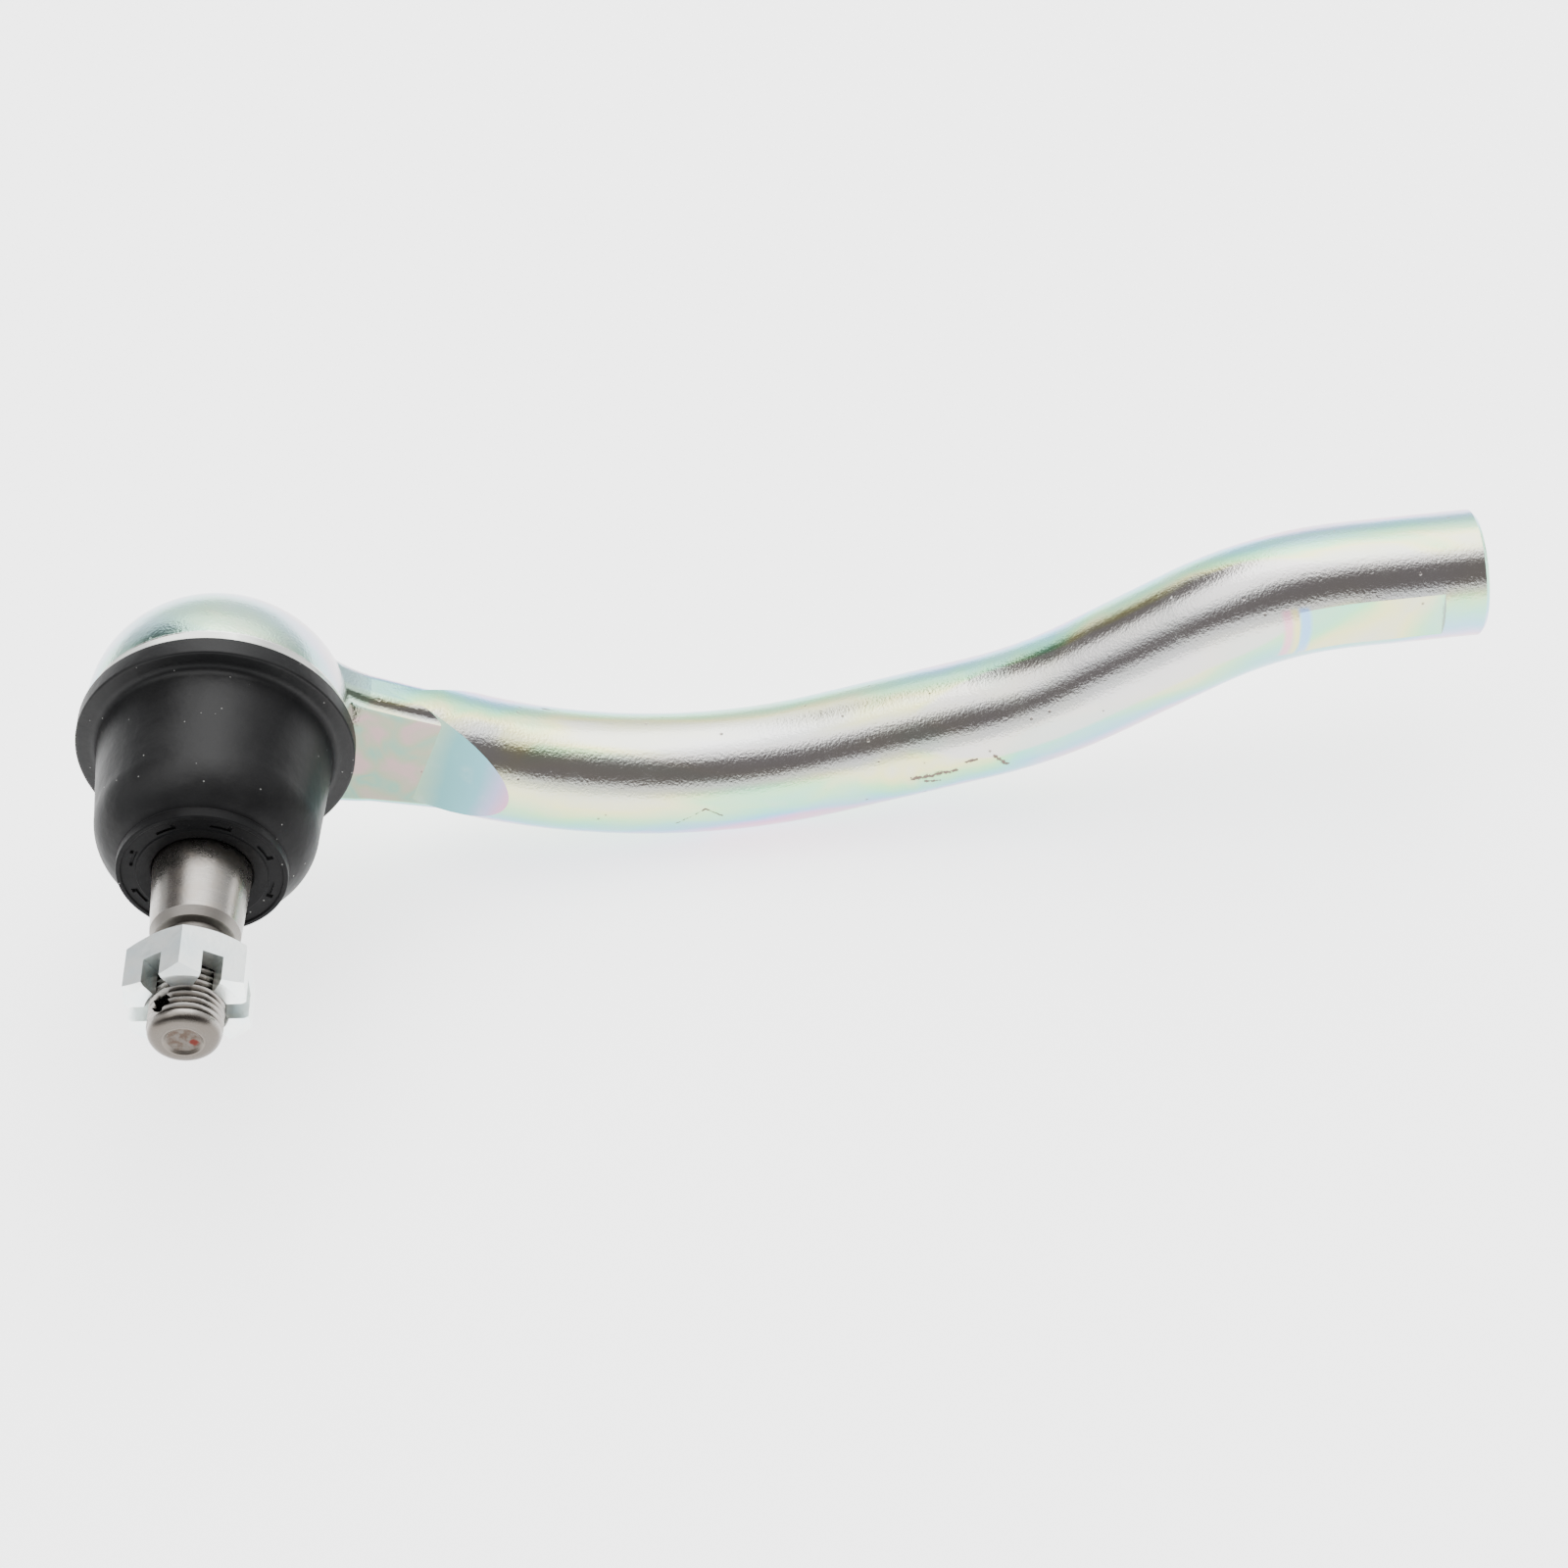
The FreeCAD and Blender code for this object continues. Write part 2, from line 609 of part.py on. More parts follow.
# ---------------------------------------------------------------- bearing inside the eye
def build_ball_seat():
    """The polymer half-shell in front of the ball, between it and the eye's shoulder."""
    body = new_body("ball_seat")
    inner = "(ball_radius + seat_clear)"
    outer = "cavity_radius - seat_fit"
    front = "shoulder_y + seat_fit"
    revolve(body, "ball_seat_turning", [
        (outer, front),
        (outer, "seat_split_y"),
        (f"sqrt({inner}^2 - seat_split_y^2)", "seat_split_y", inner),
        (inner, "0", inner),
        (f"sqrt({inner}^2 - (shoulder_y + seat_fit)^2)", front),
    ])
    return body


def build_upper_seat():
    """The pressure ring behind the ball, pushed forward by the disc spring."""
    body = new_body("upper_seat")
    inner = "(ball_radius + seat_clear)"
    outer = "cavity_radius - seat_fit"
    front = "seat_split_y + 0.3"
    revolve(body, "upper_seat_turning", [
        (f"sqrt({inner}^2 - (seat_split_y + 0.3)^2)", front),
        (outer, front),
        (outer, "upper_seat_end_y"),
        (f"sqrt({inner}^2 - upper_seat_end_y^2)", "upper_seat_end_y", inner),
    ])
    return body


def build_preload_spring():
    """A coned disc spring squeezed between the upper seat and the closing plate."""
    body = new_body("preload_spring")
    outer = "cavity_radius - 0.2"
    revolve(body, "preload_spring_turning", [
        ("spring_inner_radius", "upper_seat_end_y"),
        (outer, "plate_seat_y - spring_thick"),
        (outer, "plate_seat_y"),
        ("spring_inner_radius", "upper_seat_end_y + spring_thick"),
    ])
    return body


def build_closing_plate():
    """The dished steel plate that the eye's lip is rolled over."""
    body = new_body("closing_plate")
    hollow = "(ball_radius + plate_dome_gap)"
    crown = "(ball_radius + plate_dome_gap + plate_thick)"
    back = "(plate_seat_y + plate_thick)"
    revolve(body, "closing_plate_turning", [
        (f"sqrt({hollow}^2 - plate_seat_y^2)", "plate_seat_y"),
        ("plate_seat_radius - 0.03", "plate_seat_y"),
        ("plate_seat_radius - 0.03", back),
        (f"sqrt({crown}^2 - {back}^2)", back, "-" + crown),
        ("0", crown),
        ("0", hollow, hollow),
    ])
    return body


# ---------------------------------------------------------------- dust boot and its steel rings
def build_dust_boot():
    """The rubber cup: a flange on the eye's spigot, a tapered wall, and a lip around the stud."""
    body = new_body("dust_boot")
    stud_at_face = "taper_end_radius + (lip_face_y - taper_end_y) / (2 * taper_ratio) + lip_clear"
    stud_at_back = "taper_end_radius + (lip_inner_y - taper_end_y) / (2 * taper_ratio) + lip_clear"
    front_y = "eye_front_y - flange_width"
    revolve(body, "boot_turning", [
        ("flange_radius", "eye_front_y - 0.05"),
        ("flange_radius", front_y + " + 0.3"),
        ("flange_radius - 0.3", front_y),
        ("cup_base_radius + 1.6", front_y, "-1.9"),
        ("cup_base_radius", "cup_base_y"),
        ("cup_waist_radius", "cup_waist_y", "shoulder_radius"),
        ("lip_radius", "lip_back_y"),
        ("lip_radius", "lip_face_y"),
        ("lip_radius - 0.9", "lip_face_y"),
        ("lip_radius - 0.9", "lip_face_y + lip_recess"),
        ("lip_radius - 3.5", "lip_face_y + lip_recess"),
        ("lip_radius - 3.5", "lip_face_y"),
        (stud_at_face, "lip_face_y"),
        (stud_at_back, "lip_inner_y"),
        ("lip_radius - 1.7", "lip_inner_y", "boot_wall - shoulder_radius"),
        ("cup_waist_radius - boot_wall", "cup_waist_y"),
        ("cup_base_radius - boot_wall - 0.6", "mouth_y - 0.3"),
        ("spigot_radius + 0.4", "mouth_y - 0.3"),
        ("spigot_radius + base_ring_width + ring_gap", "base_ring_front_y - ring_gap"),
        ("spigot_radius + base_ring_width + ring_gap", "eye_front_y - 0.05"),
    ])
    revolve(body, "ring_room", [
        ("neck_ring_inner - ring_gap", "neck_ring_front_y - ring_gap"),
        ("neck_ring_outer + ring_gap", "neck_ring_front_y - ring_gap"),
        ("neck_ring_outer + ring_gap", "neck_ring_back_y + ring_gap"),
        ("neck_ring_inner - ring_gap", "neck_ring_back_y + ring_gap"),
    ], groove=True)
    notch = new_sketch(body, "notch_outline", "XZ_Plane")
    bind(notch, **{"AttachmentOffset.Base.z": "-neck_ring_front_y"})
    outline(notch, [
        ("-notch_length / 2", "notch_radius - notch_width / 2"),
        ("notch_length / 2", "notch_radius - notch_width / 2"),
        ("notch_length / 2", "notch_radius + notch_width / 2"),
        ("-notch_length / 2", "notch_radius + notch_width / 2"),
    ])
    cut = pad(body, "notch", notch, "2 * (neck_ring_front_y - lip_face_y)", "PartDesign::Pocket")
    around_stud(body, "notches", cut, "notch_count")
    body.Placement = FreeCAD.Placement(V(0, 0, 0), FreeCAD.Rotation(V(0, 1, 0), 1))
    bind(body, **{"Placement.Rotation.Angle": "notch_turn_angle"})
    return body


def build_boot_base_ring():
    """The angle-section steel ring that clamps the boot's flange to the spigot."""
    body = new_body("boot_base_ring")
    bore = "spigot_radius + 0.05"
    outer = "spigot_radius + base_ring_width"
    revolve(body, "base_ring_turning", [
        (bore, "base_ring_front_y"),
        (outer, "base_ring_front_y"),
        (outer, "base_ring_front_y + 0.8"),
        (bore + " + 0.7", "base_ring_front_y + 0.8"),
        (bore + " + 0.7", "eye_front_y - 0.1"),
        (bore, "eye_front_y - 0.1"),
    ])
    return body


def build_boot_neck_ring():
    """The flat steel ring moulded into the lip, seen through the lip's notches."""
    body = new_body("boot_neck_ring")
    revolve(body, "neck_ring_turning", [
        ("neck_ring_inner", "neck_ring_front_y"),
        ("neck_ring_outer", "neck_ring_front_y"),
        ("neck_ring_outer", "neck_ring_back_y"),
        ("neck_ring_inner", "neck_ring_back_y"),
    ])
    return body


# ---------------------------------------------------------------- check every piece and write it
def write_parts(pieces):
    doc.recompute()
    for item in doc.Objects:
        if "Invalid" in item.State or "Error" in item.State:
            raise RuntimeError(f"{item.Name} failed: {item.State}")
    os.makedirs("parts", exist_ok=True)
    for piece in pieces:
        shape = piece.Shape
        if shape.isNull() or not shape.isValid() or len(shape.Solids) != 1:
            raise RuntimeError(piece.Label + " is not one sound solid")
        shape.exportStep(f"parts/{piece.Label}.step")
        print(f"{piece.Label:16s} {shape.Volume:10.1f} mm3")


write_parts([
    build_housing(),
    build_ball_seat(),
    build_upper_seat(),
    build_preload_spring(),
    build_closing_plate(),
    build_ball_stud(),
    build_boot_base_ring(),
    build_dust_boot(),
    build_boot_neck_ring(),
    build_castle_nut(),
])
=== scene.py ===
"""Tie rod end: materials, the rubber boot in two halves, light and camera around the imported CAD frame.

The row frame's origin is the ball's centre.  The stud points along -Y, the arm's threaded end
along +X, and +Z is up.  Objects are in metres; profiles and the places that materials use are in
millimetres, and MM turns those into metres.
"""

import math

import bmesh
import bpy
from mathutils import Matrix, Vector


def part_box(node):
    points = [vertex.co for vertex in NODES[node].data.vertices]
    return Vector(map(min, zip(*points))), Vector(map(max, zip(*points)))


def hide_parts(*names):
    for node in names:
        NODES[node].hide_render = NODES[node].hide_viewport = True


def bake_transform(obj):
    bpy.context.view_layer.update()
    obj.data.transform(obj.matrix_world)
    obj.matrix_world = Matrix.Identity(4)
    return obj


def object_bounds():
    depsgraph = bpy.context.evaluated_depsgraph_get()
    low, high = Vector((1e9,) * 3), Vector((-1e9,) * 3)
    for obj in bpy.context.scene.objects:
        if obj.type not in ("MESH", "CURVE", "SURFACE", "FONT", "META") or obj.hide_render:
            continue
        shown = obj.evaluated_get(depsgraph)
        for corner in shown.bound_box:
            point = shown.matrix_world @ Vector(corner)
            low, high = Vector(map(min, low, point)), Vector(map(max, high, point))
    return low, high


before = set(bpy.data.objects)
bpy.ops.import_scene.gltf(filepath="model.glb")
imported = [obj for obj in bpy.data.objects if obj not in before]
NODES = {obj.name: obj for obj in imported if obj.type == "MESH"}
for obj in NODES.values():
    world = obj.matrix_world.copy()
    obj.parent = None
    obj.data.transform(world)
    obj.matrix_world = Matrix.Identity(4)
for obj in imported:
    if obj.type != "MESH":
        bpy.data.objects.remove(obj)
cad_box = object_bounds()

MM = 0.001


# ---------------------------------------------------------------- shader node helpers
class Graph:
    """One node tree, with short calls that add a node and return its output socket."""

    def __init__(self, tree):
        self.tree = tree

    def feed(self, socket, value):
        if isinstance(value, bpy.types.NodeSocket):
            self.tree.links.new(value, socket)
        else:
            socket.default_value = value

    def node(self, kind, inputs, **settings):
        new = self.tree.nodes.new(kind)
        for key, value in settings.items():
            setattr(new, key, value)
        for key, value in inputs.items():
            self.feed(new.inputs[key], value)
        return new

    def math(self, operation, a, b=0.0):
        return self.node("ShaderNodeMath", {0: a, 1: b}, operation=operation).outputs[0]

    def times(self, a, b):
        return self.math("MULTIPLY", a, b)

    def plus(self, a, b):
        return self.math("ADD", a, b)

    def minus(self, a, b):
        return self.math("SUBTRACT", a, b)

    def larger(self, a, b):
        return self.math("MAXIMUM", a, b)

    def scaled(self, value, factor, offset):
        """value * factor + offset"""
        inputs = {0: value, 1: factor, 2: offset}
        return self.node("ShaderNodeMath", inputs, operation="MULTIPLY_ADD").outputs[0]

    def vector(self, operation, a, b=(0.0, 0.0, 0.0)):
        return self.node("ShaderNodeVectorMath", {0: a, 1: b}, operation=operation).outputs[0]

    def length(self, a):
        return self.node("ShaderNodeVectorMath", {0: a}, operation="LENGTH").outputs["Value"]

    def dot(self, a, b):
        return self.node("ShaderNodeVectorMath", {0: a, 1: b}, operation="DOT_PRODUCT").outputs["Value"]

    def split(self, vector):
        return self.node("ShaderNodeSeparateXYZ", {0: vector}).outputs

    def join(self, x, y, z):
        return self.node("ShaderNodeCombineXYZ", {0: x, 1: y, 2: z}).outputs[0]

    def noise(self, vector, scale, detail=3.0, roughness=0.55, distortion=0.0):
        inputs = {
            "Vector": vector,
            "Scale": scale,
            "Detail": detail,
            "Roughness": roughness,
            "Distortion": distortion,
        }
        return self.node("ShaderNodeTexNoise", inputs).outputs["Fac"]

    def spots(self, vector, scale, radius):
        """1 inside small round spots scattered about 1/scale apart, 0 outside them."""
        cells = self.node("ShaderNodeTexVoronoi", {"Vector": vector, "Scale": scale})
        return self.between(cells.outputs["Distance"], radius, radius * 0.4)

    def between(self, value, low, high):
        """Smoothly 0 at low and 1 at high."""
        inputs = {"Value": value, "From Min": low, "From Max": high}
        return self.node("ShaderNodeMapRange", inputs, interpolation_type="SMOOTHSTEP").outputs["Result"]

    def band(self, value, low, high, edge):
        """1 between low and high, 0 outside, over soft edges."""
        rise = self.between(value, low - edge, low + edge)
        fall = self.between(value, high + edge, high - edge)
        return self.times(rise, fall)

    def ramp(self, value, stops):
        new = self.node("ShaderNodeValToRGB", {"Fac": value})
        elements = new.color_ramp.elements
        while len(elements) < len(stops):
            elements.new(0.5)
        for element, (place, colour) in zip(elements, stops):
            element.position = place
            element.color = (*colour, 1.0)
        return new.outputs["Color"]

    def mix(self, factor, a, b):
        """Colour a where factor is 0, and b where it is 1."""
        new = self.node("ShaderNodeMix", {}, data_type="RGBA", blend_type="MIX")
        for place, value in ((0, factor), (6, a), (7, b)):
            if isinstance(value, tuple) and len(value) == 3:
                value = (*value, 1.0)
            self.feed(new.inputs[place], value)
        return new.outputs[2]

    def over(self, colour, mask, strength, shade):
        """Lays shade over colour where mask is 1, as strongly as strength says."""
        return self.mix(self.times(mask, strength), colour, shade)

    def mix_value(self, factor, a, b):
        new = self.node("ShaderNodeMix", {}, data_type="FLOAT")
        for place, value in ((0, factor), (2, a), (3, b)):
            self.feed(new.inputs[place], value)
        return new.outputs[0]

    def bump(self, height, depth, normal=None):
        """A bump whose height of 1 stands for depth metres."""
        inputs = {"Height": height, "Distance": depth, "Strength": 1.0}
        if normal is not None:
            inputs["Normal"] = normal
        return self.node("ShaderNodeBump", inputs).outputs["Normal"]


SOCKETS = {"metallic": "Metallic", "roughness": "Roughness"}


def new_material(name, **uniform):
    """A Principled material with its uniform values set on the shader's own sockets."""
    material = bpy.data.materials.new(name)
    material.use_nodes = True
    graph = Graph(material.node_tree)
    shader = material.node_tree.nodes["Principled BSDF"]
    for key, value in uniform.items():
        shader.inputs[SOCKETS[key]].default_value = value
    place = graph.node("ShaderNodeTexCoord", {})
    return material, graph, shader, place


def millimetres(graph, place):
    """The row-frame position of a surface point, in millimetres."""
    return graph.vector("MULTIPLY", place.outputs["Object"], (1 / MM, 1 / MM, 1 / MM))


def stud_radius(graph, position):
    """Distance from the stud's axis."""
    return graph.length(graph.vector("MULTIPLY", position, (1.0, 0.0, 1.0)))


# ---------------------------------------------------------------- materials
PASTEL_FILM = [
    (0.02, (0.68, 0.38, 0.56)),
    (0.12, (0.44, 0.42, 0.74)),
    (0.25, (0.19, 0.50, 0.68)),
    (0.42, (0.22, 0.62, 0.46)),
    (0.56, (0.34, 0.68, 0.34)),
    (0.68, (0.68, 0.67, 0.32)),
    (0.78, (0.62, 0.62, 0.50)),
    (0.90, (0.58, 0.58, 0.58)),
]
# the arm's direction where it leaves the eye, and the way the ramp of its pressed plate faces
ARM_FALL = (0.9026, 0.0, -0.4305)
RAMP_NORMAL = (-0.381, -0.906, 0.182)
RAMP_LENGTH = 55.0
RAMP_FILM = [
    (0.68, (0.26, 0.38, 0.28)),
    (0.75, (0.13, 0.32, 0.33)),
    (0.84, (0.15, 0.36, 0.40)),
    (0.90, (0.34, 0.34, 0.50)),
    (0.95, (0.56, 0.30, 0.42)),
]
PLATE_FILM = [
    (0.36, (0.34, 0.25, 0.24)),
    (0.46, (0.26, 0.28, 0.20)),
    (0.54, (0.17, 0.30, 0.23)),
    (0.66, (0.30, 0.30, 0.17)),
]
RAINBOW = [
    (185.4, 187.0, (0.78, 0.36, 0.46)),
    (187.0, 188.2, (0.74, 0.64, 0.28)),
    (188.4, 190.2, (0.24, 0.44, 0.82)),
]
BARE_ZINC = (0.52, 0.55, 0.52)
CREST_REFLECTION_GREY = (0.58, 0.56, 0.55)
EYE_ZINC = (0.46, 0.54, 0.48)
BLOTCH_ZINC = (0.52, 0.55, 0.53)
MARK_BROWN = (0.15, 0.11, 0.09)
LAND_DARK = (0.50, 0.51, 0.48)
LAND_LIGHT = (0.82, 0.83, 0.79)
BORE_GREY = (0.36, 0.35, 0.33)
LAND_BACK_Y = -7.1
LAND_FRONT_Y = -13.4
# scratches: start, end and half width
SCRATCHES = [
    ((119.6, -11.0, -26.4), (127.6, -11.0, -25.1), 0.52),
    ((122.0, -10.8, -27.3), (124.6, -10.7, -27.6), 0.38),
    ((129.5, -11.0, -23.3), (131.4, -11.0, -22.9), 0.30),
    ((134.6, -11.0, -22.6), (137.0, -10.7, -25.2), 0.42),
    ((76.5, -10.8, -31.7), (82.2, -10.9, -28.6), 0.16),
    ((82.2, -10.9, -28.6), (85.0, -11.0, -30.7), 0.16),
    ((54.6, 4.6, -14.7), (57.2, 4.6, -15.2), 0.35),
]


def scored_line(graph, position, frayed, start, end, width):
    """1 along a frayed scratch from start to end, 0 a little way from it; all in millimetres."""
    start, end = Vector(start), Vector(end)
    along = tuple((end - start).normalized())
    offset = graph.vector("SUBTRACT", position, tuple(start))
    limits = {"Value": graph.dot(offset, along), "Min": 0.0, "Max": (end - start).length}
    reach = graph.node("ShaderNodeClamp", limits).outputs[0]
    nearest = graph.node("ShaderNodeVectorMath", {0: along, "Scale": reach}, operation="SCALE")
    away = graph.length(graph.vector("SUBTRACT", offset, nearest.outputs[0]))
    away = graph.plus(away, graph.times(graph.minus(frayed, 0.5), 5 * width))
    return graph.between(away, width, width * 0.3)


def forging_film(graph, position, normal, cloud):
    """The zinc's pastel film: the hues are the plating's own and drift in clouds, but their bands follow
    how squarely the surface faces the front and top, a painted reflection.
    """
    x, y, z = graph.split(position)[:3]
    y_face, z_face = graph.split(normal)[1:3]
    # painted reflection: facing is largest where the surface turns to the front and top, and the film's
    # bands are laid out by it
    facing = graph.math("ABSOLUTE", graph.minus(z_face, y_face))
    tint = graph.plus(graph.scaled(facing, 0.60, -0.76), graph.times(cloud, 1.5))
    colour = graph.ramp(tint, PASTEL_FILM)
    veil = graph.between(graph.noise(position, 0.06, 3.0, 0.5), 0.30, 0.66)
    colour = graph.over(colour, veil, 0.30, BARE_ZINC)
    # painted reflection: where the surface faces the front and top most squarely, and more widely along
    # the sloped stretch, the film is painted plain grey
    sloped = graph.times(graph.band(x, 128.0, 186.0, 9.0), 0.34)
    reflection_crest = graph.between(graph.plus(facing, sloped), 1.30, 1.385)
    colour = graph.over(colour, reflection_crest, 0.85, CREST_REFLECTION_GREY)
    eye = graph.between(stud_radius(graph, position), 28.0, 23.5)
    colour = graph.over(colour, eye, 0.55, EYE_ZINC)

    # a small rainbow at the root of the spanner flat
    on_flat = graph.times(graph.between(y, -9.2, -9.8), graph.band(z, -5.5, 4.5, 0.5))
    arc_x = graph.plus(x, graph.times(graph.times(z, z), 0.03))
    for low, high, shade in RAINBOW:
        stripe = graph.times(graph.band(arc_x, low, high, 0.5), on_flat)
        colour = graph.over(colour, stripe, 0.8, shade)

    # the pressed plate and its ramp, picked out by the way they face, wear darker tints of the film: the
    # hues are the film's, the darkness is painted shade on faces turned to the front
    down_arm = graph.dot(position, ARM_FALL)
    plate = graph.times(graph.between(y_face, -0.975, -0.99), graph.between(down_arm, 43.0, 41.0))
    patches = graph.noise(position, 0.10, 2.0, 0.5, 0.6)
    colour = graph.mix(plate, colour, graph.ramp(patches, PLATE_FILM))
    on_ramp = graph.between(graph.dot(normal, RAMP_NORMAL), 0.975, 0.990)
    drift = graph.times(graph.minus(cloud, 0.5), 0.12)
    along_ramp = graph.plus(graph.times(down_arm, 1 / RAMP_LENGTH), drift)
    return graph.mix(on_ramp, colour, graph.ramp(along_ramp, RAMP_FILM))


def zinc_forging():
    """Iridescent zinc plating over a forged skin: pastel film laid out in painted reflection bands,
    grain, dents, pits and scratches.
    """
    material, graph, shader, place = new_material("zinc_forging", metallic=1.0)
    position = millimetres(graph, place)
    x, y = graph.split(position)[:2]
    cloud = graph.noise(graph.vector("MULTIPLY", position, (0.6, 1.2, 1.3)), 0.035, 3.0, 0.5, 0.8)
    colour = forging_film(graph, position, place.outputs["Normal"], cloud)
    blotch = graph.between(graph.noise(position, 0.11, 4.0, 0.6), 0.52, 0.75)
    colour = graph.over(colour, blotch, 0.30, BLOTCH_ZINC)

    grain = graph.noise(position, 2.1, 2.0, 0.6)
    skin = graph.noise(graph.vector("MULTIPLY", position, (0.35, 1.0, 1.0)), 0.45, 3.0, 0.55)
    pits = graph.spots(graph.vector("ADD", position, (3.0, 1.0, 2.0)), 0.23, 0.085)
    scratch = 0.0
    frayed = graph.noise(position, 1.1, 4.0, 0.7)
    for start, end, width in SCRATCHES:
        scratch = graph.larger(scratch, scored_line(graph, position, frayed, start, end, width))
    mark = graph.larger(graph.times(pits, 0.7), scratch)
    colour = graph.mix(mark, colour, MARK_BROWN)

    # the land behind the boot and the spigot are turned bright after forging
    radius = stud_radius(graph, position)
    edge = graph.plus(y, graph.times(grain, 0.5))
    in_land = graph.band(edge, LAND_FRONT_Y, LAND_BACK_Y, 0.08)
    land = graph.times(in_land, graph.between(radius, 24.0, 23.0))
    turned = graph.noise(graph.join(graph.times(y, 9.0), radius, 0.0), 1.0, 2.0)
    colour = graph.mix(land, colour, graph.mix(turned, LAND_DARK, LAND_LIGHT))

    # the bore at the arm's end is a dull grey
    bore_radius = graph.length(graph.vector("MULTIPLY", position, (0.0, 1.0, 1.0)))
    bore = graph.times(graph.between(bore_radius, 7.8, 7.3), graph.between(x, 185.0, 185.5))
    colour = graph.mix(bore, colour, BORE_GREY)
    graph.feed(shader.inputs["Base Color"], colour)

    rough = graph.plus(graph.scaled(grain, 0.08, 0.105), graph.times(blotch, 0.08))
    rough = graph.mix_value(graph.larger(mark, bore), rough, 0.5)
    graph.feed(shader.inputs["Roughness"], rough)

    forged = graph.minus(1.0, land)
    height = graph.bump(graph.times(skin, forged), 0.022 * MM)
    height = graph.bump(graph.times(grain, forged), 0.055 * MM, height)
    height = graph.bump(graph.times(mark, -1.0), 0.08 * MM, height)
    graph.feed(shader.inputs["Normal"], height)
    return material


# the stud's stretches along its axis, and the colours they take
STUD_THREAD_Y = (-76.2, -58.3)
STUD_RELIEF_Y = (-61.6, -55.7)
STUD_STEP_Y = (-57.75, -57.25)
STUD_TIP_Y = (-76.3, -77.6)
RUST_PLACE = (1.5, -77.7, -0.9)
STEEL_DARK = (0.205, 0.193, 0.178)
STEEL_LIGHT = (0.31, 0.292, 0.27)
STEEL_CLOUD = (0.26, 0.232, 0.204)
THREAD_STEEL = (0.27, 0.255, 0.24)
THREAD_ROOT_SHADE = (0.06, 0.055, 0.05)
STUD_LIP_SHADE = (0.085, 0.08, 0.073)
RELIEF_SHADE = (0.155, 0.145, 0.132)
STEP_SHADE = (0.06, 0.054, 0.048)
TIP_STEEL = (0.085, 0.073, 0.062)
DIMPLE_SHADE = (0.065, 0.045, 0.034)
RIM_HIGHLIGHT = (0.20, 0.18, 0.155)
RUST = (0.11, 0.024, 0.018)


def turned_steel():
    """The stud: ground taper, turned thread and a dimpled tip, with painted shade in the dimple and a
    painted highlight on its rim.
    """
    material, graph, shader, place = new_material("stud_steel", metallic=1.0)
    position = millimetres(graph, place)
    x, y, z = graph.split(position)[:3]
    radius = stud_radius(graph, position)
    stretched = graph.join(graph.times(x, 0.05), y, graph.times(z, 0.05))
    lines = graph.noise(stretched, 5.5, 3.0)
    cloud = graph.noise(position, 0.35, 4.0, 0.6)
    steel = graph.mix(lines, STEEL_DARK, STEEL_LIGHT)
    steel = graph.mix(graph.between(cloud, 0.42, 0.75), steel, STEEL_CLOUD)
    thread = graph.band(y, *STUD_THREAD_Y, 0.15)
    steel = graph.over(steel, thread, 0.55, THREAD_STEEL)
    # painted shade: the thread's roots are darkened
    root_shade = graph.times(thread, graph.between(radius, 5.75, 5.3))
    steel = graph.over(steel, root_shade, 0.8, THREAD_ROOT_SHADE)

    # painted shade: ragged darkening of the taper just outside the boot's lip, where the stud enters the
    # rubber
    shade_and_rust_noise = graph.noise(position, 0.9, 5.0, 0.7)
    lip_shade_reach = graph.plus(graph.times(y, 0.16), shade_and_rust_noise)
    steel = graph.mix(graph.between(lip_shade_reach, -6.50, -5.90), steel, STUD_LIP_SHADE)

    # the relief: painted shade darkens its groove; its rougher finish is its own
    relief = graph.band(y, *STUD_RELIEF_Y, 0.1)
    steel = graph.over(steel, relief, 0.75, RELIEF_SHADE)
    step = graph.band(y, *STUD_STEP_Y, 0.12)
    steel = graph.over(steel, step, 0.8, STEP_SHADE)

    # the tip: painted shade inside its dimple, a painted highlight on its rim, and one spot of rust
    tip = graph.between(y, *STUD_TIP_Y)
    steel = graph.over(steel, tip, 0.85, TIP_STEEL)
    dimple_shade = graph.times(graph.between(radius, 3.9, 2.0), tip)
    patchy = graph.between(graph.noise(position, 0.8, 4.0, 0.65), 0.36, 0.64)
    steel = graph.over(steel, dimple_shade, patchy, DIMPLE_SHADE)
    rim_highlight = graph.times(graph.band(radius, 2.7, 3.35, 0.15), tip)
    steel = graph.over(steel, rim_highlight, 0.5, RIM_HIGHLIGHT)
    from_rust = graph.length(graph.vector("SUBTRACT", position, RUST_PLACE))
    rust = graph.minus(from_rust, graph.times(shade_and_rust_noise, 1.6))
    rust = graph.between(rust, 0.1, -0.35)
    steel = graph.mix(rust, steel, RUST)
    graph.feed(shader.inputs["Base Color"], steel)

    rough = graph.mix_value(relief, graph.scaled(cloud, 0.16, 0.20), 0.44)
    rough = graph.mix_value(graph.larger(rust, graph.times(dimple_shade, 0.6)), rough, 0.62)
    graph.feed(shader.inputs["Roughness"], rough)
    height = graph.bump(lines, 0.012 * MM)
    height = graph.bump(graph.noise(position, 1.6, 4.0, 0.6), 0.02 * MM, height)
    graph.feed(shader.inputs["Normal"], height)
    return material


NUT_ZINC = [
    (0.30, (0.76, 0.85, 0.86)),
    (0.55, (0.90, 0.93, 0.90)),
    (0.75, (0.80, 0.89, 0.91)),
]
NUT_INSIDE_SHADE = (0.60, 0.61, 0.60)
SPECK_GREY = (0.42, 0.42, 0.40)


